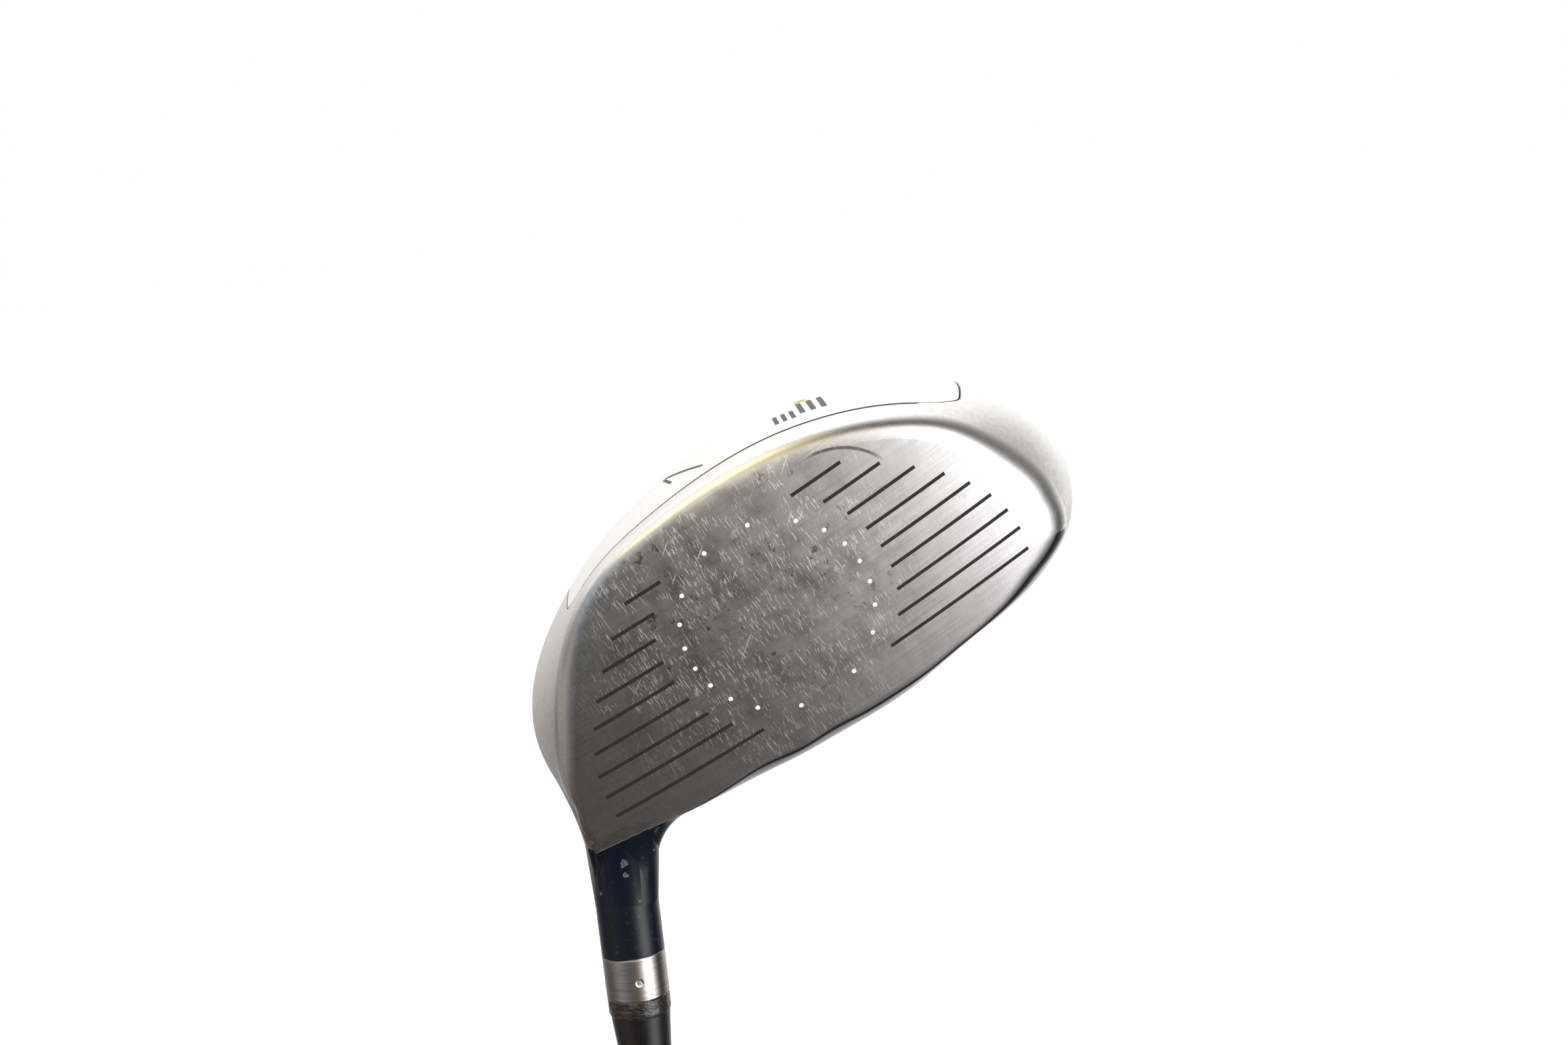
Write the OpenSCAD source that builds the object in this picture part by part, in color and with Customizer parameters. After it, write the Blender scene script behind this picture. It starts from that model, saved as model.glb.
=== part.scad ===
// Golf driver: a hollow metal head on a graphite shaft with a rubber grip.
// Club frame: the butt of the grip is at the origin and the shaft runs along +Z to the head.
// Head frame: the face centre is at the origin, +X to the toe, +Y to the target, +Z up at address.

/* [Club] */
// Length from the butt of the grip to the ground at the heel, along the shaft
club_l = 1143; // [800:1:1220]
// Angle between the shaft and the ground
lie = 63; // [58:0.5:68]
// Backward tilt of the face
loft = 10.5; // [8:0.5:13]

/* [Head] */
// Half the head's length from heel to toe, at its widest
head_half_l = 63; // [54:0.5:76]
// Half the head's height, from the middle of the face to the sole
head_half_h = 32.5; // [28:0.5:39]
// Depth from the widest section to the rear of the skirt
rear_depth = 69; // [57:1:83]
// Distance behind the face centre of the widest section
belly_setback = 34; // [28:1:40]
// Radius of the face's bulge and roll
face_r = 305; // [254:1:366]

/* [Walls] */
// Thickness of the face plate
face_t = 2.9; // [2.4:0.1:3.5]
// Thickness of the crown shell
crown_t = 1.0; // [0.8:0.1:1.4]
// Thickness of the sole, skirt and frame
frame_t = 1.3; // [1.0:0.1:1.6]
// Width of the rounded edge on the face, beside the flat
edge_face_w = 4.5; // [3.5:0.1:5.4]
// Width of the rounded edge on the skirt, behind the face
edge_skirt_w = 4; // [3:0.1:5]
// Width of the edge where the crown meets the face
edge_crown_w = 1.4; // [1:0.1:2.5]

/* [Face markings] */
// Number of score line rows
line_rows = 9; // [5:1:9]
// Distance between score line rows
line_pitch = 4.85; // [4.1:0.05:5.0]
// Width of a score line
line_w = 0.75; // [0.6:0.05:1.0]
// Depth of a score line
line_depth = 0.5; // [0.4:0.05:0.6]
// Radius of the ring of aiming dots
dot_ring_r = 19.7; // [17:0.1:21]
// Diameter of an aiming dot
dot_d = 1.0; // [0.8:0.05:1.2]
// Sink of the paint below the face
paint_sink = 0.1; // [0.05:0.01:0.15]

/* [Hosel] */
// Outer diameter of the hosel tube
hosel_od = 13.4; // [12.4:0.1:16]
// Length of the hosel above the crown's heel corner
hosel_up = 22; // [18:0.5:26.5]
// Depth of the hosel tube inside the head
hosel_down = 18; // [15:0.5:20]
// Thickness of the plug that closes the hosel's bore
plug_t = 3; // [2:0.5:4]
// Gap filled with adhesive between the bore and the shaft
glue_gap = 0.15; // [0.1:0.01:0.25]
// Height of the adhesive collar between hosel and ferrule
collar_h = 4.2; // [3:0.1:5]
// Length of the ferrule
ferrule_l = 24; // [19:1:30]
// Wall of the ferrule round the shaft at its small end
ferrule_wall = 0.65; // [0.5:0.05:1.2]

/* [Shaft] */
// Diameter of the shaft's tip
tip_d = 8.5; // [7.5:0.1:9.3]
// Length of the parallel tip
tip_l = 75; // [62:1:90]
// Diameter of the shaft's butt
butt_d = 15.2; // [14:0.1:16.5]
// Wall of the shaft
shaft_wall = 1.3; // [1.1:0.1:1.6]
// Length of the swing weight plug inside the tip
weight_l = 12; // [10:1:16]

/* [Grip] */
// Length of the grip
grip_l = 267; // [220:1:320]
// Diameter of the grip at the cap
grip_cap_d = 30; // [28:0.5:34]
// Diameter of the grip below the cap
grip_butt_d = 26.5; // [24:0.5:28]
// Diameter of the grip at its mouth
grip_mouth_d = 19.2; // [18.5:0.1:22]
// Thickness of the moulded end cap
cap_t = 5; // [4:0.5:6.5]
// Diameter of the vent hole
vent_d = 3.2; // [2.6:0.1:3.8]
// Thickness of the grip tape
tape_t = 0.3; // [0.2:0.05:0.4]

/* [Hidden] */
$fn = 96;
NAVY = [0.05, 0.07, 0.13];

// Outlines as control radii of closed cubic splines, evenly spaced from the toe towards the crown.
// They are given for the standard head and follow its half length and half height.
RIM = [51.5, 60, 49.5, 37.5, 32.5, 29, 28, 27.5, 31.5, 34, 51, 66, 54, 48, 44.5, 39.5, 34, 31.5, 30.5,
       31, 33, 36.5, 42, 49];
BELLY = [67, 66.5, 41, 36.5, 33.5, 35.5, 42.5, 63, 66, 48.5, 38, 32.5, 31.5, 34, 39.5, 50.5];
STD_HALF_L = 63;
STD_HALF_H = 32.5;
sx = head_half_l / STD_HALF_L;
sz = head_half_h / STD_HALF_H;

// Centre line of the sections: at the belly, and at the rear pole
belly_x = 3;
pole = [2, -belly_setback - rear_depth, 4];
ball = face_r * [0, -cos(loft), -sin(loft)];
front_curve = 1.9;
rear_curve = 1.9;

// Angles on the sections, from the toe towards the crown, that part the shells
crown_toe = 20;
crown_heel = 160;
plate_heel = 210;
plate_toe = 345;
step = 5;
// Angles at which the edge starts to narrow to the crown's width, and the turn it takes
edge_toe = 20;
edge_heel = 183;
edge_fade = 25;
// Sharp corners of the rim at heel and toe: angle, how far each stands out, half width; and rounding
CORNERS = [[159.5, 6.3, 8], [20.5, 2.3, 7]];
corner_soft = 0.8;
// Rows of the skin: -1 at the edge of the face, 0 behind the rounded edge, 1 at the belly, 2 at the
// rear pole
edge_rows = [-1, -0.75, -0.5, -0.25, 0];
seam = 0.2;
plate_end = 1.8;
mid_rows = [seam, 0.32, 0.46, 0.6, 0.8, 1, 1.12, 1.24, 1.36, 1.48, 1.6, 1.7, plate_end];
rear_rows = [1.88, 1.95];

// Hosel axis: a point at the crown's heel corner, and the direction to the grip
neck = [-60 * sx, -17.4, 35 * sz];
up = [-cos(lie), 0, sin(lie)];
side = [sin(lie), 0, cos(lie)];
front = [0, 1, 0];
neck_l = club_l - (neck[2] + head_half_h + 0.7) / sin(lie);
// Width of the neck's fillet around the tube, from the toe side towards the face
FLARE = [19, 11, 7, 8.5, 12, 14, 15, 17];
flare_top = 2;
flare_steps = 8;
flare_turn = 10;
// Thickness of the fairing where it fades out on the tube
fairing_t = 0.15;
STD_HOSEL_R = 6.7;

hosel_r = hosel_od / 2;
bore_r = tip_d / 2 + glue_gap;
hosel_end = neck_l - hosel_up;
bore_end = neck_l + hosel_down - plug_t;
tip_z = bore_end - 0.5;
collar_z = hosel_end - collar_h;
ferrule_z = collar_z - ferrule_l;
taper = (butt_d - tip_d) / (tip_z - tip_l - cap_t);
fit = 0.02;
collar_r = hosel_r - 0.05;
ferrule_r = tip_d / 2 + ferrule_wall;
cap_round = 2.5;

// Least distance from a score line's end to the edge of the face
line_margin = 1;
// Room between the dots and the score lines, and the ring's shift and stretch up the face
line_gap = 5.1;
ring_lift = 0.2;
ring_tall = 1.03;

// Marks on the sole plate, in plan
mark_t = 0.1;
small_bars = [20.4, -23];
large_bars = [26, -29];
stripe_foot = [-6.5, -38];

function spline_at(c, i, t) =
    let (n = len(c))
    ((1 - t)^3 * c[(i + n - 1) % n] + (3 * t^3 - 6 * t^2 + 4) * c[i % n]
     + (-3 * t^3 + 3 * t^2 + 3 * t + 1) * c[(i + 1) % n] + t^3 * c[(i + 2) % n]) / 6;
function closed_spline(c, a) =
    let (n = len(c), s = ((a % 360 + 360) % 360) / 360 * n, i = floor(s))
    spline_at(c, i, s - i);

// Height of the face's ball over a point of the front view
function face_y(x, z, r = face_r) = ball[1] + sqrt(r^2 - x^2 - (z - ball[2])^2);
// A section's point at an angle, from its radius in the standard head
function section(a, r) = [r * cos(a) * sx, r * sin(a) * sz];
function rim_r(a) =
    let (b = (a % 360 + 360) % 360)
    closed_spline(RIM, a) + [for (c = CORNERS)
        c[1] * max(0, 1 - (norm([b - c[0], corner_soft]) - corner_soft) / c[2])] * [for (c = CORNERS) 1];
function rim_xz(a, inset = 0) = [belly_x, 0] + section(a, rim_r(a) - inset);
// Width of the rounded edge at an angle, on the face or on the skirt
function edge_w(a, w) =
    let (b = (a % 360 + 360) % 360, t = min(1, max(0, min(b - edge_toe, edge_heel - b) / edge_fade)))
    w + (edge_crown_w - w) * t * t * (3 - 2 * t);
function rim_y(a) = let (p = rim_xz(a)) face_y(p[0], p[1]);
// Share of the belly's section left at a place behind it
function rear_share(y) =
    let (t = (-belly_setback - y) / rear_depth) (1 - min(1, max(0, t))^2)^(1 / rear_curve);
function skin_r(a, y) =
    let (t = min(1, max(0, (rim_y(a) - y) / (rim_y(a) + belly_setback))))
    y > -belly_setback
    ? rim_r(a) + (closed_spline(BELLY, a) - rim_r(a)) * (1 - (1 - t)^front_curve)
    : closed_spline(BELLY, a) * rear_share(y);
function centre(y) =
    let (h = rear_share(min(y, -belly_setback))) [pole[0] + (belly_x - pole[0]) * h, pole[2] * (1 - h)];
function body_point(a, y) = let (c = centre(y), s = section(a, skin_r(a, y))) [c[0] + s[0], y, c[1] + s[1]];

function bezier(a, b, c, t) = (1 - t)^2 * a + 2 * t * (1 - t) * b + t^2 * c;
function face_edge(a) = let (p = rim_xz(a, edge_w(a, edge_face_w))) [p[0], face_y(p[0], p[1]), p[1]];
function skin(a, w) =
    let (y0 = rim_y(a) - edge_w(a, edge_skirt_w))
    w < 0 ? bezier(body_point(a, y0), body_point(a, rim_y(a)), face_edge(a), -w)
    : w < 1 ? body_point(a, y0 - w * (y0 + belly_setback))
    : body_point(a, -belly_setback - rear_depth * sin(90 * (w - 1)));
function unit(v) = v / norm(v);
// Outward direction of the skin
function skin_out(a, w) =
    let (lo = max(-1, w - 0.01), hi = min(1.98, w + 0.01))
    unit(cross(skin(a + 0.5, w) - skin(a - 0.5, w), skin(a, hi) - skin(a, lo)));
// A point of the skin sunk below its surface; the face's edge sinks straight back
function sunk(a, w, d) =
    w <= -1 ? let (p = face_edge(a)) [p[0], face_y(p[0], p[2], face_r - d), p[2]]
    : skin(a, w) - d * skin_out(a, w);

// How far a point is outside the head, and zero or less within it
function outside(p) =
    let (c = centre(p[1]), q = [(p[0] - c[0]) / sx, (p[2] - c[1]) / sz])
    max(norm(q) - skin_r(atan2(q[1], q[0]), p[1]), p[1] - face_y(p[0], p[2]));
function outside_turn(p, d = 0.05) =
    unit([for (e = [[d, 0, 0], [0, d, 0], [0, 0, d]]) outside(p + e) - outside(p - e)]);
// Distance along the hosel's axis at which a line beside it enters the head
function entry(base, lo = -35, hi = 20, n = 16) =
    n == 0 ? (lo + hi) / 2
    : let (m = (lo + hi) / 2) outside(base + m * up) < 0 ? entry(base, m, hi, n - 1) : entry(base, lo, m, n - 1);

// Section of the fairing at one turn around the tube: down the fillet, back along the skin
function across(a) = side * cos(a) + front * sin(a);
function flare_curve(a) =
    let (d = across(a),
         inner_r = (hosel_r + fit) / cos(flare_turn / 2),
         reach = hosel_r + closed_spline(FLARE, a) - STD_HOSEL_R,
         foot = function(r) neck + r * d + (entry(neck + r * d) + fit) * up,
         land = foot(reach),
         n = outside_turn(land),
         start = neck + flare_top * up + (hosel_r + fairing_t) * d,
         pull = norm(start - land) * 0.45,
         p1 = start - up * pull,
         p2 = land + unit(up * (d * n) - d * (up * n)) * pull)
    concat(
        [neck + (flare_top + 1) * up + inner_r * d],
        [for (i = [0:flare_steps]) let (t = i / flare_steps)
            (1 - t)^3 * start + 3 * t * (1 - t)^2 * p1 + 3 * t^2 * (1 - t) * p2 + t^3 * land],
        [for (t = [0.75, 0.5, 0.25, 0]) foot(inner_r + (reach - inner_r) * t)]);

// Solid between two depths below the skin, over a range of angles and a list of rows.
// gap is a window of cells left out, as [first angle, last angle, first row, last row] by number.
// With a rear pole the solid closes at the head's rearmost point.
module skin_solid(a0, a1, rows, top, bottom, to_pole = false, gap = [0, 0, 0, 0]) {
    full = a1 - a0 == 360;
    cells = round((a1 - a0) / step);
    n = cells + (full ? 0 : 1);
    m = len(rows);
    k = n * m;
    at = function(i, j) j * n + i % n;
    kept = function(i, j)
        let (c = full ? (i + cells) % cells : i)
        c >= 0 && c < cells && j >= 0 && j < m - 1
        && !(c >= gap[0] && c < gap[1] && j >= gap[2] && j < gap[3]);
    wall = function(p, q) [[p, q, q + k], [p, q + k, p + k]];
    pts = concat(
        [for (w = rows, i = [0:n - 1]) sunk(a0 + i * step, w, top)],
        [for (w = rows, i = [0:n - 1]) sunk(a0 + i * step, w, bottom)],
        to_pole ? [pole + [0, top, 0], pole + [0, bottom, 0]] : []);
    faces = [for (j = [0:m - 2], i = [0:cells - 1]) if (kept(i, j))
        let (p = at(i, j), q = at(i + 1, j), r = at(i + 1, j + 1), t = at(i, j + 1)) each concat(
            [[p, r, q], [p, t, r], [p + k, q + k, r + k], [p + k, r + k, t + k]],
            kept(i, j - 1) ? [] : wall(p, q),
            kept(i, j + 1) || (to_pole && j == m - 2) ? [] : wall(r, t),
            kept(i - 1, j) ? [] : wall(t, p),
            kept(i + 1, j) ? [] : wall(q, r))];
    first = at(0, m - 1);
    last = at(n - 1, m - 1);
    cap = !to_pole ? [] : concat(
        [for (i = [0:cells - 1]) let (p = at(i, m - 1), q = at(i + 1, m - 1))
            each [[q, p, 2 * k], [p + k, q + k, 2 * k + 1]]],
        full ? [] : [[2 * k, first, first + k], [2 * k, first + k, 2 * k + 1],
                     [last, 2 * k, 2 * k + 1], [last, 2 * k + 1, last + k]]);
    polyhedron(pts, concat(faces, cap), convexity = 10);
}

// Puts the head on the club
module head_frame() {
    translate([0, 0, neck_l]) rotate([180, lie - 90, 0]) translate(-neck) children();
}

// Round solid on the hosel's axis, between two distances from the neck towards the grip
module on_axis(s0, s1, r) {
    translate(neck + s0 * up) rotate([0, lie - 90, 0]) cylinder(h = s1 - s0, r = r);
}

module face_outline(margin = 0) {
    rotate([90, 0, 0]) linear_extrude(60, center = true)
        polygon([for (i = [0:360 / step - 1]) rim_xz(i * step, edge_w(i * step, edge_face_w) + margin)]);
}

module ball_layer(top, bottom) {
    translate(ball) difference() {
        sphere(r = face_r - top, $fn = 360);
        sphere(r = face_r - bottom, $fn = 360);
    }
}

// Inner and outer ends of a score line on its row: a circle, and the face's outline less a margin
function row_v(i) = (i - (line_rows - 1) / 2) * line_pitch;
function line_in(v) = sqrt(max(0, (dot_ring_r + line_gap)^2 - v^2));
function toe_out(v) = (46.8 + 0.58 * v - 0.022 * v^2) * sx;
function heel_out(v) = (43.9 + 0.7 * v - 0.017 * v^2) * sx;
function dot_x(v) = dot_ring_r * sqrt(max(0, 1 - ((v - ring_lift) / (dot_ring_r * ring_tall))^2));
LINES = [for (i = [0:line_rows - 1]) let (v = row_v(i))
    each [[line_in(v), toe_out(v), v], [-heel_out(v), -line_in(v), v]]];

module score_lines() {
    rotate([-90 + loft, 0, 0]) for (l = LINES)
        translate([l[0], -l[2] - line_w / 2, -30]) cube([l[1] - l[0], line_w, 60]);
}

module aim_dots() {
    rotate([-90 + loft, 0, 0]) for (i = [0:line_rows - 1], s = [-1, 1]) let (v = row_v(i))
        translate([s * dot_x(v), -v, -30]) cylinder(h = 60, d = dot_d, $fn = 24);
}

module face_plate() {
    color([0.62, 0.61, 0.6]) head_frame() difference() {
        intersection() {
            face_outline();
            ball_layer(0, face_t);
        }
        difference() {
            union() {
                score_lines();
                aim_dots();
            }
            translate(ball) sphere(r = face_r - line_depth, $fn = 360);
        }
        on_axis(-hosel_down - 1, hosel_up, hosel_r + fit);
    }
}

module score_line_paint() {
    color([0.06, 0.06, 0.06]) head_frame() intersection() {
        score_lines();
        face_outline(line_margin);
        ball_layer(paint_sink, line_depth);
    }
}

module aim_dot_paint() {
    color([0.95, 0.95, 0.93]) head_frame() intersection() {
        aim_dots();
        ball_layer(paint_sink, line_depth);
    }
}

module front_frame() {
    color([0.7, 0.69, 0.67]) head_frame() difference() {
        skin_solid(0, 360, concat(edge_rows, [seam]), 0, frame_t);
        on_axis(-hosel_down - 1, hosel_up, hosel_r + fit);
    }
}

module skirt() {
    window = [(plate_heel - crown_heel) / step, (plate_toe - crown_heel) / step, 0, len(mid_rows) - 1];
    color([0.75, 0.75, 0.74]) head_frame() difference() {
        skin_solid(crown_heel, crown_toe + 360, concat(mid_rows, rear_rows), 0, frame_t, true, window);
        on_axis(-hosel_down - 1, hosel_up, hosel_r + fit);
    }
}

module sole_plate() {
    color([0.93, 0.93, 0.92]) head_frame()
        skin_solid(plate_heel, plate_toe, mid_rows, 0, frame_t);
}

module crown() {
    color(NAVY) head_frame() difference() {
        skin_solid(crown_toe, crown_heel, concat(mid_rows, rear_rows), 0, crown_t, true);
        on_axis(-hosel_down - 1, hosel_up, hosel_r + fit);
    }
}

// Fairing round the hosel's foot: its outside is the fillet, its underside follows the skin
module neck_fairing() {
    n = 360 / flare_turn;
    curves = [for (i = [0:n - 1]) flare_curve(i * flare_turn)];
    m = len(curves[0]);
    faces = [for (i = [0:n - 1], j = [0:m - 1])
        let (p = i * m + j, q = (i + 1) % n * m + j, r = (i + 1) % n * m + (j + 1) % m, t = i * m + (j + 1) % m)
        each [[p, q, r], [p, r, t]]];
    color(NAVY) head_frame() polyhedron([for (c = curves) each c], faces, convexity = 6);
}

module hosel() {
    color(NAVY) translate([0, 0, hosel_end]) difference() {
        cylinder(h = hosel_up + hosel_down, r = hosel_r);
        translate([0, 0, -1]) cylinder(h = hosel_up + hosel_down + 2, r = bore_r);
    }
}

module hosel_plug() {
    color([0.8, 0.8, 0.78]) translate([0, 0, bore_end]) cylinder(h = plug_t, r = bore_r - fit);
}

// A layer on the sole plate, cut to a plan outline
module sole_mark() {
    head_frame() intersection() {
        translate([0, 0, -60]) linear_extrude(60) children();
        skin_solid(plate_heel, plate_toe, [for (w = mid_rows) if (w < 1.3) w], -mark_t, 0);
    }
}

module sole_bars() {
    color([0.35, 0.35, 0.36]) sole_mark() for (i = [0:2]) {
        translate([small_bars[0] + i * 1.8, small_bars[1]]) square([0.9, 8]);
        translate([large_bars[0] + i * 2.2, large_bars[1]]) square([1.1, 12]);
    }
}

module sole_accent() {
    color([0.9, 0.75, 0.2]) sole_mark()
        translate([large_bars[0], large_bars[1] - 4]) square([2.4, 2.6]);
}

module sole_stripe() {
    color([0.6, 0.6, 0.6]) sole_mark() for (a = [0, 16])
        translate(stripe_foot) rotate(a - 24) translate([-0.35, 0]) square([0.7, 24 - a * 0.6]);
}

module rear_weight() {
    color([0.45, 0.45, 0.47]) head_frame()
        skin_solid(250, 285, [1.6, 1.66, 1.72, 1.78], frame_t + fit, frame_t + 5);
}

module rattle_glue() {
    color([0.85, 0.8, 0.6]) head_frame()
        skin_solid(255, 285, [1, 1.12, 1.24, 1.36], frame_t + fit, frame_t + 1.6);
}

module tube(z0, z1, r_out, r_in) {
    translate([0, 0, z0]) difference() {
        cylinder(h = z1 - z0, r = r_out);
        translate([0, 0, -1]) cylinder(h = z1 - z0 + 2, r = r_in);
    }
}

module shaft_adhesive() {
    color([0.5, 0.42, 0.25]) tube(hosel_end, tip_z, bore_r, tip_d / 2);
}

module adhesive_collar() {
    color([0.17, 0.12, 0.09]) translate([0, 0, collar_z]) rotate_extrude() polygon([
        [tip_d / 2, 0], [collar_r - 0.2, 0], [collar_r, 0.5], [collar_r, collar_h - 0.5],
        [collar_r - 0.3, collar_h], [tip_d / 2, collar_h]]);
}

module ferrule() {
    turns = 12;
    color([0.04, 0.04, 0.04]) translate([0, 0, ferrule_z]) rotate_extrude() polygon(concat(
        [[tip_d / 2, 0]],
        [for (i = [0:turns]) let (t = i / turns)
            [ferrule_r + (collar_r - 0.3 - ferrule_r) * (1 - cos(90 * t)) ^ 0.9, ferrule_l * t]],
        [[tip_d / 2, ferrule_l]]));
}

// Radius of the shaft's outside at a height on the club
function shaft_r(z) = z > tip_z - tip_l ? tip_d / 2 : tip_d / 2 + (tip_z - tip_l - z) * taper / 2;

module shaft() {
    knee = tip_z - tip_l;
    color([0.12, 0.12, 0.13]) rotate_extrude() polygon([
        [shaft_r(cap_t) - shaft_wall, cap_t], [shaft_r(cap_t), cap_t], [tip_d / 2, knee], [tip_d / 2, tip_z],
        [tip_d / 2 - shaft_wall, tip_z], [tip_d / 2 - shaft_wall, knee]]);
}

module tip_weight() {
    color([0.75, 0.6, 0.3]) translate([0, 0, tip_z - weight_l])
        cylinder(h = weight_l, r = tip_d / 2 - shaft_wall - fit);
}

module grip_tape() {
    top = grip_l - 4;
    color([0.85, 0.83, 0.75]) rotate_extrude() polygon([
        [shaft_r(cap_t), cap_t], [shaft_r(cap_t) + tape_t, cap_t], [shaft_r(top) + tape_t, top], [shaft_r(top), top]]);
}

// Radius of the grip's outside, from below the cap to the mouth
function grip_r(t) = grip_mouth_d / 2 + (grip_butt_d - grip_mouth_d) / 2 * (1 - t) ^ 1.35;

module grip() {
    turns = 16;
    inner = function(z) shaft_r(z) + tape_t;
    color([0.05, 0.05, 0.05]) rotate_extrude() polygon(concat(
        [[inner(cap_t), cap_t], [grip_cap_d / 2 - 0.3, cap_t], [grip_cap_d / 2 - 0.8, cap_t + 2]],
        [for (i = [0:turns]) let (t = i / turns) [grip_r(t), cap_t + 8 + (grip_l - cap_t - 9) * t]],
        [[grip_mouth_d / 2 - 0.6, grip_l], [shaft_r(grip_l) + 0.05, grip_l],
         [shaft_r(grip_l - 4) + 0.05, grip_l - 4], [inner(grip_l - 4), grip_l - 4]]));
}

module grip_cap() {
    r = grip_cap_d / 2;
    turns = 8;
    color([0.06, 0.06, 0.06]) difference() {
        rotate_extrude() polygon(concat(
            [[0, 0]],
            [for (i = [0:turns]) let (a = 90 * i / turns) [r - cap_round + cap_round * sin(a), cap_round * (1 - cos(a))]],
            [[r - 0.3, cap_t], [0, cap_t]]));
        translate([0, 0, -1]) cylinder(h = cap_t + 2, d = vent_d);
    }
}

face_plate();
front_frame();
skirt();
sole_plate();
crown();
neck_fairing();
hosel();
hosel_plug();
score_line_paint();
aim_dot_paint();
sole_bars();
sole_stripe();
sole_accent();
rear_weight();
rattle_glue();
shaft_adhesive();
adhesive_collar();
ferrule();
shaft();
tip_weight();
grip_tape();
grip();
grip_cap();
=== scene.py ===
import math

import bpy
import numpy as np
from mathutils import Matrix, Vector


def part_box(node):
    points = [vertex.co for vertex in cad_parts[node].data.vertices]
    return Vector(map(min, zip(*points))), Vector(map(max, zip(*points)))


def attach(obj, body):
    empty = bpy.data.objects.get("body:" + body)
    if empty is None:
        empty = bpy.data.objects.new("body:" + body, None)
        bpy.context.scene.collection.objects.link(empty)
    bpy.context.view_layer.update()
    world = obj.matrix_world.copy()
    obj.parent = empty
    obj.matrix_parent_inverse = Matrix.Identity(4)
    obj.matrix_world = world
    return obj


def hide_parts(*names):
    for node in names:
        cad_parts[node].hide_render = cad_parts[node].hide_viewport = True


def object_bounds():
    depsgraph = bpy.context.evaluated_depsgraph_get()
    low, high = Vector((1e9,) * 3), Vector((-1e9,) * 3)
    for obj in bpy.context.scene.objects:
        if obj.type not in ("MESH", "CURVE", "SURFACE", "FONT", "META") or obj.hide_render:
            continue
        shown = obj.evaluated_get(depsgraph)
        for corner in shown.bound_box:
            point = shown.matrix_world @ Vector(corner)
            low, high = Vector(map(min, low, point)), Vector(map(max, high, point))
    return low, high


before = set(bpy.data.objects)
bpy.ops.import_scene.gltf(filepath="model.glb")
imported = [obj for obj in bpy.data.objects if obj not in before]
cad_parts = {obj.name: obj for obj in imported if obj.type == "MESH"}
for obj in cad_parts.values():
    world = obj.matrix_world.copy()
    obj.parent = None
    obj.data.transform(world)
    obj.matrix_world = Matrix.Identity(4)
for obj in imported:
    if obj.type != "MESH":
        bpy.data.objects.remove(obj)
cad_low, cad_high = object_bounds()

# ---------------------------------------------------------------- sizes, in millimetres
# The head frame has its origin at the face centre, +X to the toe, +Y to the target, +Z to the crown.
# These repeat the CAD's driving sizes, and the club frame is the CAD's own.
CLUB_L = 1143.0
LIE = math.radians(63)
LOFT = math.radians(10.5)
HALF_H = 32.5
REAR_DEPTH = 69.0
BELLY_SETBACK = 34.0
FACE_R = 305.0
FRAME_T = 1.3
CROWN_T = 1.0
# width of the rounded edge in front of the rim and behind it, and where it narrows under the crown
EDGE_FACE_W = 4.5
EDGE_SKIRT_W = 4.0
EDGE_CROWN_W = 1.4
EDGE_TOE, EDGE_HEEL, EDGE_FADE = 20.0, 183.0, 25.0
# corners of the rim: angle, height and half width in degrees
CORNERS = [(159.5, 6.3, 8.0), (20.5, 2.3, 7.0)]
CORNER_SOFT = 0.8
PLATE_STEP = 5.0
# radii at even angles, from the toe over the crown to the heel: the rim, the belly behind it, the neck's flare
RIM = np.array([51.5, 60, 49.5, 37.5, 32.5, 29, 28, 27.5, 31.5, 34, 51, 66, 54, 48, 44.5, 39.5, 34, 31.5,
                30.5, 31, 33, 36.5, 42, 49])
BELLY = np.array([67, 66.5, 41, 36.5, 33.5, 35.5, 42.5, 63, 66, 48.5, 38, 32.5, 31.5, 34, 39.5, 50.5])
FLARE = np.array([19, 11, 7, 8.5, 12, 14, 15, 17.0])
BELLY_X = 3.0
POLE = np.array([2.0, -BELLY_SETBACK - REAR_DEPTH, 4.0])
BALL = FACE_R * np.array([0, -math.cos(LOFT), -math.sin(LOFT)])
FRONT_CURVE = 1.9
REAR_CURVE = 1.9
CROWN_TOE, CROWN_HEEL = 20.0, 160.0
PLATE_HEEL, PLATE_TOE = 210.0, 345.0
# rows of the sole plate's front and rear: 0 is behind the edge, 1 the belly, 2 the rear pole
SEAM, PLATE_END = 0.2, 1.8
# where the hosel's axis meets the crown, the way to the grip, and the two ways across
NECK = np.array([-60.0, -17.4, 35.0])
UP = np.array([-math.cos(LIE), 0, math.sin(LIE)])
SIDE = np.array([math.sin(LIE), 0, math.cos(LIE)])
FRONT = np.array([0.0, 1.0, 0.0])
NECK_L = CLUB_L - (NECK[2] + HALF_H + 0.7) / math.sin(LIE)
HOSEL_R = 6.7
FLARE_TOP = 2.0
GROOVE_DEPTH, GROOVE_HALF = 0.35, 0.16
PLATE_CORNER, PLATE_REAR_CORNER = 7.0, 1.0
BAND_H = 9.0
DIMPLE_UP = 4.0
# where the neck's paint ends on the front of the heel, and how fast that line climbs towards the toe
NECK_PAINT_X, NECK_PAINT_Z, NECK_PAINT_CLIMB = -56.3, 23.3, 0.1
# paint chips on the neck's front: distance to the grip, distance to the toe, radius
CHIPS = [(-8.2, 0.4, 0.72), (-5.8, 0.5, 0.62), (-1.7, -5.0, 0.45), (7.0, -5.2, 0.4)]
MM = 0.001

# the head frame's axes in the club's frame, where the grip's butt is the origin and +Z runs to the head
TO_CLUB = np.array([[math.sin(LIE), 0, math.cos(LIE)], [0, -1, 0], [math.cos(LIE), 0, -math.sin(LIE)]])


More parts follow.
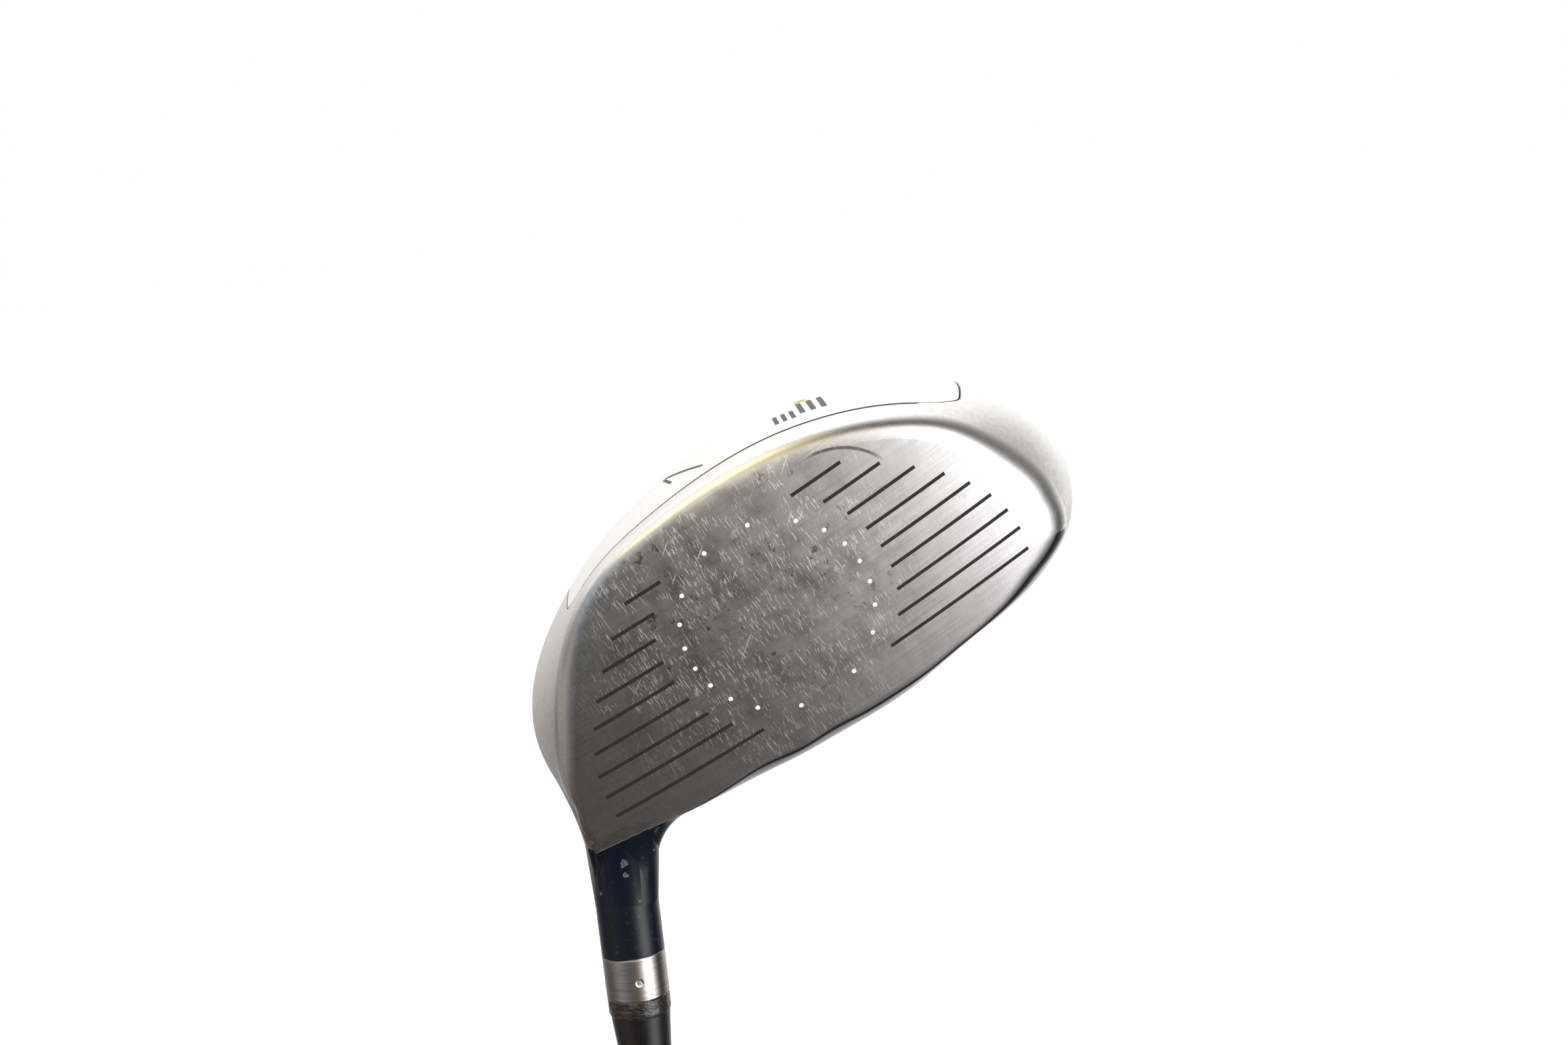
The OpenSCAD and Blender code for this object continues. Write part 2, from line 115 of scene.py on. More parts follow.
def to_club(p):
    """Head frame in millimetres to the club's frame in metres."""
    return ((np.asarray(p) - NECK) @ TO_CLUB.T + [0, 0, NECK_L]) * MM


# ---------------------------------------------------------------- the head's skin

def closed_spline(c, a):
    """Smooth closed curve through evenly spaced angles, with c as its control values."""
    n = len(c)
    s = (np.asarray(a, float) % 360) / 360 * n
    i = np.floor(s).astype(int)
    t = s - i
    return ((1 - t) ** 3 * c[(i - 1) % n] + (3 * t ** 3 - 6 * t ** 2 + 4) * c[i % n]
            + (-3 * t ** 3 + 3 * t ** 2 + 3 * t + 1) * c[(i + 1) % n] + t ** 3 * c[(i + 2) % n]) / 6


def face_y(x, z, r=FACE_R):
    """Depth of the face's ball at a place, or of a ball of radius r round the same centre."""
    return BALL[1] + np.sqrt(np.maximum(r ** 2 - x ** 2 - (z - BALL[2]) ** 2, 1))


def turn(a):
    """Cosine and sine of an angle in degrees."""
    a = np.radians(a)
    return np.cos(a), np.sin(a)


def rim_r(a):
    """Radius of the rim: the spline, with the corners added."""
    b = np.asarray(a, float) % 360
    r = closed_spline(RIM, a)
    for at, height, width in CORNERS:
        r = r + height * np.maximum(0, 1 - (np.hypot(b - at, CORNER_SOFT) - CORNER_SOFT) / width)
    return r


def rim(a, inset=0.0):
    """The rim's outline on the face's ball, moved inwards by inset."""
    c, s = turn(a)
    r = rim_r(a) - inset
    x, z = BELLY_X + r * c, r * s
    return x, z, face_y(x, z)


def smooth(t):
    """Soft step from 0 to 1."""
    t = np.clip(t, 0, 1)
    return t * t * (3 - 2 * t)


def edge_w(a, w):
    """Width of the rounded edge: w, narrowing to the crown's width."""
    b = np.asarray(a) % 360
    t = smooth(np.minimum(b - EDGE_TOE, EDGE_HEEL - b) / EDGE_FADE)
    return w + (EDGE_CROWN_W - w) * t


def rear_share(y):
    """How much of the belly's radius is left behind the belly."""
    t = np.clip((-BELLY_SETBACK - y) / REAR_DEPTH, 0, 1)
    return np.maximum(1 - t ** 2, 0) ** (1 / REAR_CURVE)


def skin_r(a, y):
    """Radius of the skin at an angle and a depth."""
    y_rim = rim(a)[2]
    r_rim, r_belly = rim_r(a), closed_spline(BELLY, a)
    t = np.clip((y_rim - y) / (y_rim + BELLY_SETBACK), 0, 1)
    fore = r_rim + (r_belly - r_rim) * (1 - (1 - t) ** FRONT_CURVE)
    return np.where(y > -BELLY_SETBACK, fore, r_belly * rear_share(y))


def centre(y):
    """Middle of the head's section at a depth, drifting to the rear pole."""
    h = rear_share(np.minimum(y, -BELLY_SETBACK))
    return POLE[0] + (BELLY_X - POLE[0]) * h, POLE[2] * (1 - h)


def body_point(a, y):
    """Point of the skin at an angle and a depth."""
    cx, cz = centre(y)
    c, s = turn(a)
    r = skin_r(a, y)
    return np.stack([cx + r * c, y + 0 * r, cz + r * s], -1)


def face_edge(a):
    """The face's outline, in the same straight steps as the CAD's face plate."""
    k = np.floor(a / PLATE_STEP)
    t = a / PLATE_STEP - k
    ends = [np.stack(rim(b, edge_w(b, EDGE_FACE_W))[:2]) for b in (k * PLATE_STEP, (k + 1) * PLATE_STEP)]
    return ends[0] + (ends[1] - ends[0]) * t


def skin(a, w):
    """Point of the skin at an angle and a row: -1 face edge, 0 behind the edge, 1 belly, 2 rear pole."""
    a, w = np.broadcast_arrays(np.asarray(a, float), np.asarray(w, float))
    y_rim = rim(a)[2]
    y0 = y_rim - edge_w(a, EDGE_SKIRT_W)
    x, z = face_edge(a)
    flat = np.stack([x, face_y(x, z), z], -1)
    t = np.clip(-w, 0, 1)[..., None]
    edge = (1 - t) ** 2 * body_point(a, y0) + 2 * t * (1 - t) * body_point(a, y_rim) + t ** 2 * flat
    fore = body_point(a, y0 - np.clip(w, 0, 1) * (y0 + BELLY_SETBACK))
    rear = body_point(a, -BELLY_SETBACK - REAR_DEPTH * np.sin(np.pi / 2 * np.clip(w - 1, 0, 1)))
    k = w[..., None]
    return np.where(k < 0, edge, np.where(k < 1, fore, rear))


def skin_out(a, w):
    """Outward direction of the skin; the rows next to the rear pole take their neighbours'."""
    lo, hi = np.clip(w - 0.01, -1, 1.96), np.clip(w + 0.01, -0.99, 1.98)
    n = np.cross(skin(a + 0.5, w) - skin(a - 0.5, w), skin(a, hi) - skin(a, lo))
    return n / np.linalg.norm(n, axis=-1, keepdims=True)


def outside(p):
    """How far points are outside the head, zero or less within it."""
    cx, cz = centre(p[..., 1])
    x, z = p[..., 0] - cx, p[..., 2] - cz
    return np.maximum(np.hypot(x, z) - skin_r(np.degrees(np.arctan2(z, x)), p[..., 1]),
                      p[..., 1] - face_y(p[..., 0], p[..., 2]))


# ---------------------------------------------------------------- meshes from skin coordinates

def grid(a_list, w_list, wrap=False):
    """Skin coordinates and triangles of a grid of angles and rows."""
    n, m = len(a_list), len(w_list)
    uv = np.stack(np.meshgrid(a_list, w_list), -1).reshape(-1, 2)
    i = np.arange(n if wrap else n - 1)
    j = np.arange(m - 1)[:, None]
    p = j * n + i
    q = j * n + (i + 1) % n
    quads = np.stack([p, q, q + n, p + n], -1).reshape(-1, 4)
    return uv, np.concatenate([quads[:, [0, 1, 2]], quads[:, [0, 2, 3]]])


def split(uv, tris, value):
    """Cuts triangles along value = 0; returns the coordinates, all triangles and each one's side."""
    v = value(uv)
    v = np.where(np.abs(v) < 1e-6, 1e-6, v)
    sign = v[tris] > 0
    whole = sign.all(1) | ~sign.any(1)
    out = [tris[whole]]
    side = [sign[whole][:, 0]]
    added, made, extra = {}, [], []

    def cut(i, j):
        key = (min(i, j), max(i, j))
        if key not in added:
            t = v[i] / (v[i] - v[j])
            added[key] = len(uv) + len(made)
            made.append(uv[i] + (uv[j] - uv[i]) * t)
        return added[key]

    for tri, s in zip(tris[~whole], sign[~whole]):
        k = int(np.argmax(s == (s.sum() == 1)))
        a, b, c = tri[k], tri[(k + 1) % 3], tri[(k + 2) % 3]
        ab, ac = cut(a, b), cut(a, c)
        extra += [((a, ab, ac), s[k]), ((ab, b, c), not s[k]), ((ab, c, ac), not s[k])]
    if extra:
        out.append(np.array([e[0] for e in extra]))
        side.append(np.array([e[1] for e in extra]))
        uv = np.concatenate([uv, np.array(made)])
    return uv, np.concatenate(out), np.concatenate(side)


def split_wrapped(uv, tris, value):
    """split() on a full turn, where the last angle meets the first."""
    spans = np.ptp(uv[:, 0][tris], axis=1) > 180
    n = len(uv)
    twin = uv.copy()
    twin[:, 0] += 360
    both = np.concatenate([uv, twin])
    tris = np.where(spans[:, None] & (both[tris][:, :, 0] < 180), tris + n, tris)
    both, tris, side = split(both, tris, value)
    # vertices that stand at the same place become one again
    key = np.round(np.stack([both[:, 0] % 360, both[:, 1]], -1), 5)
    _, first, back = np.unique(key, axis=0, return_index=True, return_inverse=True)
    return both[first], back.reshape(-1)[tris], side


def compact(uv, tris):
    """Leaves out the points that no triangle uses."""
    used, back = np.unique(tris, return_inverse=True)
    return uv[used], back.reshape(tris.shape)


def thicken(top, bottom, tris):
    """Closed solid between two point sets that share their triangles."""
    n = len(top)
    edges = np.concatenate([tris[:, [0, 1]], tris[:, [1, 2]], tris[:, [2, 0]]])
    codes = edges[:, 0] * n + edges[:, 1]
    back = edges[:, 1] * n + edges[:, 0]
    rim_edges = edges[~np.isin(codes, back)]
    a, b = rim_edges[:, 0], rim_edges[:, 1]
    walls = np.concatenate([np.stack([b, a, a + n], -1), np.stack([b, a + n, b + n], -1)])
    return np.concatenate([top, bottom]), np.concatenate([tris, tris[:, ::-1] + n, walls])


def ring_faces(rings, around):
    """Quads of a closed surface of rings, where the last ring meets the first."""
    i, j = np.arange(around), np.arange(rings)[:, None]
    after, above = (i + 1) % around, (j + 1) % rings
    quads = [j * around + i, j * around + after, above * around + after, above * around + i]
    return np.stack(quads, -1).reshape(-1, 4)


def mesh_object(name, verts, faces, materials, index=None, sharp=40):
    mesh = bpy.data.meshes.new(name)
    mesh.from_pydata(verts.tolist(), [], [list(map(int, f)) for f in faces])
    for m in materials:
        mesh.materials.append(m)
    if index is not None:
        mesh.polygons.foreach_set("material_index", np.asarray(index, dtype=np.int32))
    mesh.validate()
    mesh.shade_smooth()
    mesh.set_sharp_from_angle(angle=math.radians(sharp))
    obj = bpy.data.objects.new(name, mesh)
    bpy.context.scene.collection.objects.link(obj)
    return obj


def shell(name, uv, tris, thick, materials, index=None, sink=None):
    """A closed shell under the skin, optionally sunk by a function of the skin coordinates."""
    uv, tris = compact(uv, tris)
    a, w = uv[:, 0], uv[:, 1]
    n = skin_out(a, w)
    p = skin(a, w)
    drop = sink(uv)[:, None] if sink else 0
    x, z = face_edge(a)
    back = np.stack([x, face_y(x, z, FACE_R - thick), z], -1)
    inner = np.where(w[:, None] <= -1, back, p - thick * n)
    verts, faces = thicken(p - drop * n, inner, tris)
    a, b, c = (verts[faces[:, k]] for k in range(3))
    if (a * np.cross(b, c)).sum() > 0:
        faces = faces[:, ::-1]
    if index is not None:
        index = np.concatenate([index, index, np.zeros(len(faces) - 2 * len(index), int)])
    return mesh_object(name, to_club(verts), faces[:, ::-1], materials, index)


# ---------------------------------------------------------------- materials

class Nodes:
    """Short calls for building a node tree."""

    def __init__(self, tree):
        self.tree = tree
        tree.nodes.clear()

    def add(self, kind, inputs=(), **settings):
        node = self.tree.nodes.new(kind)
        for key, value in settings.items():
            setattr(node, key, value)
        for key, value in dict(inputs).items():
            if isinstance(value, bpy.types.NodeSocket):
                self.tree.links.new(value, node.inputs[key])
            else:
                node.inputs[key].default_value = value
        return node

    def math(self, operation, a, b=0.0):
        return self.add("ShaderNodeMath", {0: a, 1: b}, operation=operation).outputs[0]

    def chain(self, operation, values):
        """One result from two or more values, taken from left to right."""
        total = values[0]
        for value in values[1:]:
            total = self.math(operation, total, value)
        return total

    def times(self, *values):
        return self.chain("MULTIPLY", values)

    def plus(self, *values):
        return self.chain("ADD", values)

    def most(self, *values):
        return self.chain("MAXIMUM", values)

    def least(self, *values):
        return self.chain("MINIMUM", values)

    def minus(self, a, b):
        return self.math("SUBTRACT", a, b)

    def rest(self, share):
        """What a share leaves of one."""
        return self.math("SUBTRACT", 1.0, share)

    def vector(self, operation, a, b):
        """A vector operation's node; its outputs are Vector and Value."""
        return self.add("ShaderNodeVectorMath", {0: a, 1: b}, operation=operation)

    def distance(self, a, b):
        return self.vector("DISTANCE", a, b).outputs["Value"]

    def xyz(self, vector):
        return self.add("ShaderNodeSeparateXYZ", {0: vector}).outputs[:3]

    def ramp(self, value, lo, hi, out_lo=0.0, out_hi=1.0):
        """A soft step from out_lo to out_hi while the value goes from lo to hi."""
        node = self.add("ShaderNodeMapRange", {"Value": value, "From Min": lo, "From Max": hi,
                                               "To Min": out_lo, "To Max": out_hi})
        node.interpolation_type = "SMOOTHSTEP"
        return node.outputs[0]

    def noise(self, vector, scale, detail=3.0, rough=0.55, stretch=(1, 1, 1), seed=(0, 0, 0)):
        m = self.add("ShaderNodeMapping", {"Vector": vector, "Scale": stretch, "Location": seed})
        node = self.add("ShaderNodeTexNoise", {"Vector": m.outputs[0], "Scale": scale, "Detail": detail,
                                               "Roughness": rough})
        return node.outputs[0]

    def mix(self, factor, a, b):
        node = self.add("ShaderNodeMix", {"Factor": factor}, data_type="RGBA")
        for key, value in ((6, a), (7, b)):
            if isinstance(value, bpy.types.NodeSocket):
                self.tree.links.new(value, node.inputs[key])
            else:
                node.inputs[key].default_value = (*value, 1)
        return node.outputs[2]

    def place(self, rotation, origin):
        """Object coordinates turned into another frame, in millimetres."""
        inputs = {"Vector": self.add("ShaderNodeTexCoord").outputs["Object"], "Scale": [1 / MM] * 3,
                  "Rotation": Matrix(rotation.tolist()).to_euler(), "Location": Vector(origin)}
        return self.add("ShaderNodeMapping", inputs).outputs[0]

    def club(self):
        return self.place(np.eye(3), (0, 0, 0))

    def head(self):
        return self.place(TO_CLUB.T, NECK - TO_CLUB.T @ np.array([0, 0, NECK_L]))

    def face(self):
        """The face's own frame: along the score lines, out of the face, up the face."""
        c, s = math.cos(LOFT), math.sin(LOFT)
        tilt = np.array([[1, 0, 0], [0, c, s], [0, -s, c]])
        return self.place(tilt @ TO_CLUB.T, tilt @ (NECK - TO_CLUB.T @ np.array([0, 0, NECK_L])))

    def bump(self, height, distance, strength):
        inputs = {"Height": height, "Distance": distance, "Strength": strength}
        return self.add("ShaderNodeBump", inputs).outputs[0]


def material(name, build, **fixed):
    """A Principled material: build(nodes) gives linked inputs, fixed gives plain socket values."""
    mat = bpy.data.materials.new(name)
    mat.use_nodes = True
    n = Nodes(mat.node_tree)
    linked = build(n) if build else {}
    inputs = {key.replace("_", " "): value for key, value in fixed.items()}
    inputs.update(linked)
    shader = n.add("ShaderNodeBsdfPrincipled", inputs)
    out = n.add("ShaderNodeOutputMaterial")
    mat.node_tree.links.new(shader.outputs[0], out.inputs[0])
    return mat


SATIN_LIGHT, SATIN_DARK = (0.80, 0.79, 0.765), (0.72, 0.705, 0.675)
NAVY_DEEP, NAVY_FLAKE, NAVY_SCUFF = (0.003, 0.005, 0.011), (0.01, 0.017, 0.04), (0.16, 0.19, 0.27)


def ball_depth(n, head):
    """Depth below the face's ball in millimetres: nothing on the face, rising round its edge."""
    return n.minus(FACE_R, n.distance(head, Vector(BALL)))


def over_paint_line(n, x, z):
    """Height above the line where the neck's paint ends on the front of the heel."""
    start = NECK_PAINT_Z - NECK_PAINT_CLIMB * NECK_PAINT_X
    return n.plus(n.minus(z, start), n.times(x, -NECK_PAINT_CLIMB))


def scratches(n, p, middle):
    """Short bright scratches, most of them nearly upright, crowded in the middle of the face."""
    strokes = []
    for turned, seed, scale, size in ((0.02, 1, 1.0, 0.73), (0.12, 5, 1.4, 0.735), (-0.08, 11, 0.9, 0.74),
                                      (0.24, 31, 1.2, 0.75), (0.9, 23, 0.5, 0.78)):
        m = n.add("ShaderNodeMapping", {"Vector": p, "Rotation": (0, turned, 0)}).outputs[0]
        streak = n.noise(m, scale, 0, 0.4, (5.0, 0.1, 0.28), (seed, 0, seed))
        strokes.append(n.ramp(streak, size, size + 0.05))
    dings = n.ramp(n.noise(p, 1.5, 2, 0.6, (1, 0.1, 1), (9, 0, 4)), 0.69, 0.74)
    crowd = n.times(n.ramp(n.noise(p, 0.1, 3, 0.6, seed=(3, 0, 9)), 0.35, 0.6), middle)
    return n.times(n.most(*strokes, n.times(dings, 0.8)), n.ramp(crowd, 0.0, 0.6, 0.12, 1.0))


def smudges(n, p, x, z, middle):
    """Dark clouds and specks in the middle of the face, and a ball's curved scuff near the toe."""
    clouds = n.times(n.ramp(n.noise(p, 0.13, 4, 0.65, (1.2, 1, 0.9), (2, 0, 5)), 0.36, 0.72), 0.62)
    specks = n.ramp(n.noise(p, 0.42, 5, 0.75, (1.2, 1, 0.9), (12, 0, 15)), 0.56, 0.64)
    patches = n.ramp(n.noise(p, 0.07, 2, 0.5, seed=(8, 0, 1)), 0.42, 0.58)
    dark = n.times(n.most(clouds, n.times(specks, patches, 0.9)), n.plus(0.25, n.times(middle, 0.9)))
    scuff_at, scuff_r = (21.3, 0, -9.7), 14.2
    on_face = n.vector("MULTIPLY", p, (1, 0, 1)).outputs[0]
    arc = n.minus(n.distance(on_face, scuff_at), scuff_r)
    scuff = n.times(n.ramp(n.math("ABSOLUTE", arc), 0.5, 0.15), n.ramp(x, 20, 25), n.ramp(z, -13, -18))
    return n.most(dark, n.times(scuff, 0.9))


def front_metal(n):
    """Brushed face that turns into a polished edge and then the satin skirt."""
    head = n.head()
    depth = ball_depth(n, head)
    edge = n.ramp(depth, 0.05, 0.8)
    satin = n.ramp(depth, 3.6, 4.4)
    p = n.face()
    x, _, z = n.xyz(p)
    head_x, _, head_z = n.xyz(head)
    brush = n.noise(p, 1.0, 4, 0.65, (0.06, 0.4, 7.5))
    coarse = n.noise(p, 1.0, 3, 0.6, (0.03, 0.2, 1.8), (7, 0, 3))
    fine = n.noise(head, 0.9, 4, 0.6)
    grain = n.noise(head, 5.0, 2, 0.5)
    middle = n.ramp(n.distance(p, (-8, 0, -6)), 48, 10)
    toe = n.ramp(x, 26, 54)
    scratch = scratches(n, p, middle)
    smudge = smudges(n, p, x, z, middle)
    # brushed face; its warmer tone near the crown is a painted reflection, and its paler toe a painted
    # highlight
    warm_reflection = n.times(n.ramp(n.plus(z, n.times(x, -0.25)), 6, 34), 0.55)
    base = n.mix(warm_reflection, (0.56, 0.555, 0.55), (0.53, 0.48, 0.42))
    base = n.mix(n.ramp(brush, 0.3, 0.72, 0.0, 0.5), base, (0.30, 0.295, 0.29))
    base = n.mix(n.ramp(coarse, 0.4, 0.7, 0.0, 0.25), base, (0.28, 0.275, 0.27))
    base = n.mix(smudge, base, (0.09, 0.09, 0.095))
    # painted highlight: the base colour turns pale grey towards the toe
    base = n.mix(n.times(toe, 0.4), base, (0.72, 0.715, 0.71))
    base = n.mix(scratch, base, (0.97, 0.97, 0.97))
    # polished edge, with a rough bead down the heel's side: its roughness and bumps are wear, its near-white
    # speckles a painted highlight
    wear_and_glints = n.times(n.ramp(head_x, -36, -44), n.ramp(head_z, -22, -10), n.ramp(depth, 0.5, 0.9),
                   n.ramp(depth, 2.6, 1.8))
    polished = n.mix(n.ramp(fine, 0.35, 0.7, 0, 0.5), (0.80, 0.79, 0.775), (0.68, 0.665, 0.64))
    polished = n.mix(n.times(wear_and_glints, n.ramp(grain, 0.42, 0.56)), polished, (0.98, 0.97, 0.96))
    lines = n.ramp(n.noise(head, 1.4, 2, 0.5, (0.25, 1, 1.3), (2, 5, 1)), 0.66, 0.70)
    base = n.mix(edge, base, n.mix(n.times(lines, 0.6), polished, (0.98, 0.98, 0.97)))
    base = n.mix(satin, base, n.mix(n.ramp(fine, 0.35, 0.7), SATIN_LIGHT, SATIN_DARK))
    rough = n.plus(n.ramp(brush, 0.25, 0.75, 0.30, 0.44), n.times(smudge, 0.12))
    bright = n.plus(n.ramp(fine, 0.3, 0.7, 0.15, 0.26), n.times(wear_and_glints, 0.25))
    rough = n.plus(n.times(rough, n.rest(edge)), n.times(bright, edge), n.times(satin, 0.17))
    rough = n.minus(rough, n.times(toe, 0.1, n.rest(edge)))
    flat = n.rest(n.most(edge, n.times(toe, 0.5)))
    height = n.plus(n.times(brush, 0.6), n.times(coarse, 0.5))
    height = n.times(n.minus(height, scratch), flat)
    height = n.plus(height, n.times(grain, n.plus(0.1, n.times(wear_and_glints, 4.0))))
    up_face = TO_CLUB @ np.array([0, -math.sin(LOFT), math.cos(LOFT)])
    tangent = n.add("ShaderNodeCombineXYZ", dict(enumerate(up_face))).outputs[0]
    # the neck's paint runs a little way over the heel corner
    over = n.plus(over_paint_line(n, head_x, head_z), n.times(n.minus(fine, 0.5), 0.5))
    over = n.times(n.ramp(over, 0.05, 0.35), n.ramp(head_x, -34, -38))
    bare = n.rest(over)
    return {"Base Color": n.mix(over, base, (0.004, 0.006, 0.014)), "Metallic": bare,
            "Roughness": n.times(rough, n.plus(0.3, n.times(bare, 0.7))),
            "Normal": n.bump(height, 0.00002, 0.6), "Tangent": tangent,
            "Anisotropic": n.times(flat, bare, 0.5)}


def satin_metal(n):
    """Fine bead-blasted titanium."""
    p = n.head()
    fine = n.noise(p, 0.9, 4, 0.6)
    grain = n.noise(p, 9.0, 2, 0.5)
    return {"Base Color": n.mix(n.ramp(fine, 0.35, 0.7), SATIN_LIGHT, SATIN_DARK),
            "Roughness": n.ramp(grain, 0.3, 0.7, 0.32, 0.42), "Normal": n.bump(grain, 0.00003, 0.5)}


def silver_paint(n):
    """Pale silver lacquer with a fine fleck."""
    p = n.head()
    fleck = n.noise(p, 14.0, 1, 0.5)
    soft = n.noise(p, 0.06, 2, 0.5)
    base = n.mix(n.ramp(fleck, 0.45, 0.75, 0, 0.25), (0.93, 0.93, 0.93), (0.80, 0.81, 0.82))
    base = n.mix(n.ramp(soft, 0.4, 0.7, 0, 0.2), base, (0.88, 0.88, 0.875))
    return {"Base Color": base, "Roughness": n.ramp(fleck, 0.3, 0.7, 0.22, 0.32)}


def navy_gloss(n, p, scuffed):
    """Deep navy with a fine flake: its colour, its roughness and the slow waviness of its surface."""
    peel = n.noise(p, 0.8, 2, 0.5)
    fleck = n.noise(p, 18.0, 1, 0.5)
    base = n.mix(n.ramp(fleck, 0.5, 0.8, 0, 0.35), NAVY_DEEP, NAVY_FLAKE)
    scuffs = n.ramp(n.noise(p, 1.2, 4, 0.7, seed=(4, 4, 4)), 0.62, 0.74)
    base = n.mix(n.times(scuffs, scuffed), base, NAVY_SCUFF)
    rough = n.plus(n.ramp(peel, 0.3, 0.7, 0.07, 0.12), n.times(scuffs, 0.15))
    return base, rough, peel


def navy_paint(n):
    base, rough, peel = navy_gloss(n, n.head(), 0.05)
    return {"Base Color": base, "Roughness": rough, "Normal": n.bump(peel, 0.00003, 0.5)}


def chips(n, p):
    """Small ragged chips: scattered ones, and the larger ones in CHIPS."""
    cells = n.add("ShaderNodeTexVoronoi", {"Vector": p, "Scale": 0.22})
    ragged = n.plus(cells.outputs["Distance"], n.times(n.noise(p, 2.5, 3, 0.7), 0.22))
    chip = n.times(n.ramp(ragged, 0.19, 0.17), n.ramp(n.noise(p, 0.15, 1, 0.5, seed=(6, 2, 8)), 0.5, 0.55))
    # the colour noise's middle value, 0.5, moves a point by warp / 2, which the spots make up for
    warp = 2.0
    noise = n.add("ShaderNodeTexNoise", {"Vector": p, "Scale": 0.9, "Detail": 3.0}).outputs[1]
    pushed = n.vector("MULTIPLY", noise, [warp] * 3).outputs[0]
    warped = n.vector("ADD", pushed, p).outputs[0]
    for along, across, radius in CHIPS:
        spot = NECK + along * UP + across * SIDE + math.sqrt(HOSEL_R ** 2 - across ** 2) * FRONT + warp / 2
        away = n.distance(warped, Vector(spot))
        chip = n.most(chip, n.ramp(away, radius + 0.1, radius - 0.1))
    return chip


def neck_paint(n):
    """Glossy navy that ends along a line above the bare heel and has small chips."""
    p = n.head()
    x, y, z = n.xyz(p)
    base, rough, peel = navy_gloss(n, p, 0.25)
    heel = n.plus(n.minus(z, 36.75), n.times(x, -0.25), n.ramp(x, -58.5, -57.0, 0, 8))
    front = n.plus(over_paint_line(n, x, z), n.ramp(y, -12.5, -14.0, 0, 8))
    line = n.plus(n.least(heel, front), n.times(n.minus(peel, 0.5), 0.5))
    bare = n.most(chips(n, p), n.ramp(line, 0.15, -0.15))
    metal = n.mix(n.ramp(peel, 0.35, 0.7), SATIN_LIGHT, (0.70, 0.68, 0.64))
    # painted shade: the bare metal on the front of the heel, towards the face, is made darker and browner
    metal = n.mix(n.ramp(y, -14.0, -12.5), metal, (0.40, 0.37, 0.33))
    height = n.minus(n.times(peel, 0.3), bare)
    return {"Base Color": n.mix(bare, base, metal), "Metallic": bare,
            "Roughness": n.plus(rough, n.times(bare, 0.28)),
            "Coat Weight": n.times(n.rest(bare), 0.3), "Normal": n.bump(height, 0.0001, 0.5)}


def shade(colour):
    """The same colour, a quarter darker."""
    return tuple(c * 0.75 for c in colour)


def matte_print(colour, rough=0.6):
    """Thin matte paint or print."""
    def build(n):
        grain = n.noise(n.head(), 6.0, 3, 0.6)
        return {"Base Color": n.mix(n.ramp(grain, 0.4, 0.7), colour, shade(colour)),
                "Roughness": n.ramp(grain, 0.3, 0.7, rough - 0.08, rough + 0.1)}
    return build


def plain(colour, rough):
    """A moulded or cast finish: slow colour change, fine grain."""
    def build(n):
        p = n.club()
        slow = n.noise(p, 0.4, 3, 0.6)
        grain = n.noise(p, 4.8, 3, 0.6)
        return {"Base Color": n.mix(n.ramp(slow, 0.35, 0.7), colour, shade(colour)),
                "Roughness": n.ramp(grain, 0.3, 0.7, rough - 0.06, rough + 0.06),
                "Normal": n.bump(grain, 0.00003, 0.6)}
    return build


def hosel_finish(n):
    """Navy paint with a polished band and a small dimple at the ferrule's end, whose bright spot is a painted
    highlight.
    """
    p = n.club()
    z = n.xyz(p)[2]
    wave = n.times(n.minus(n.noise(p, 0.12, 2, 0.5), 0.5), 1.5)
    above = n.minus(n.plus(z, wave), HOSEL_END + BAND_H)
    band = n.ramp(above, 0.15, -0.15)
    lip = n.ramp(n.math("ABSOLUTE", above), 0.4, 0.1)
    ring = n.noise(p, 1.0, 3, 0.5, (0.15, 0.15, 6.0))
    scuffs = n.ramp(n.noise(p, 1.2, 4, 0.7, seed=(4, 4, 4)), 0.60, 0.72)
    paint = n.mix(n.times(scuffs, 0.3), NAVY_DEEP, NAVY_SCUFF)
    marks = n.ramp(n.noise(p, 1.1, 3, 0.6, (1, 1, 0.6)), 0.60, 0.70)
    metal = n.mix(n.ramp(ring, 0.3, 0.7), (0.62, 0.60, 0.575), (0.42, 0.40, 0.38))
    metal = n.mix(n.times(marks, 0.5), metal, (0.30, 0.28, 0.25))
    # the dimple is sunk by the bump; its near-white colour is a painted highlight
    dimple_and_glint = n.ramp(n.distance(p, DIMPLE), 0.95, 0.55)
    metal = n.mix(dimple_and_glint, metal, (0.95, 0.95, 0.95))
    height = n.minus(n.times(ring, 0.1), n.plus(lip, n.times(dimple_and_glint, 4.0)))
    return {"Base Color": n.mix(band, paint, metal), "Metallic": band,
            "Roughness": n.plus(n.ramp(ring, 0.3, 0.7, 0.04, 0.12), n.times(marks, 0.12)),
            "Coat Weight": n.times(n.rest(band), 0.3), "Normal": n.bump(height, 0.00008, 0.5)}


def resin(n):
    """Squeezed-out adhesive: dark, glossy and a little lumpy."""
    p = n.club()
    streak = n.noise(p, 0.35, 3, 0.6, (1, 1, 2.2))
    beads = n.noise(p, 0.55, 2, 0.5, (1, 1, 1.6), (3, 1, 7))
    black, brown = (0.010, 0.009, 0.008), (0.09, 0.055, 0.03)
    return {"Base Color": n.mix(n.ramp(streak, 0.52, 0.72, 0, 0.7), black, brown),
            "Roughness": n.ramp(streak, 0.3, 0.7, 0.04, 0.12), "Normal": n.bump(beads, 0.0012, 0.6)}


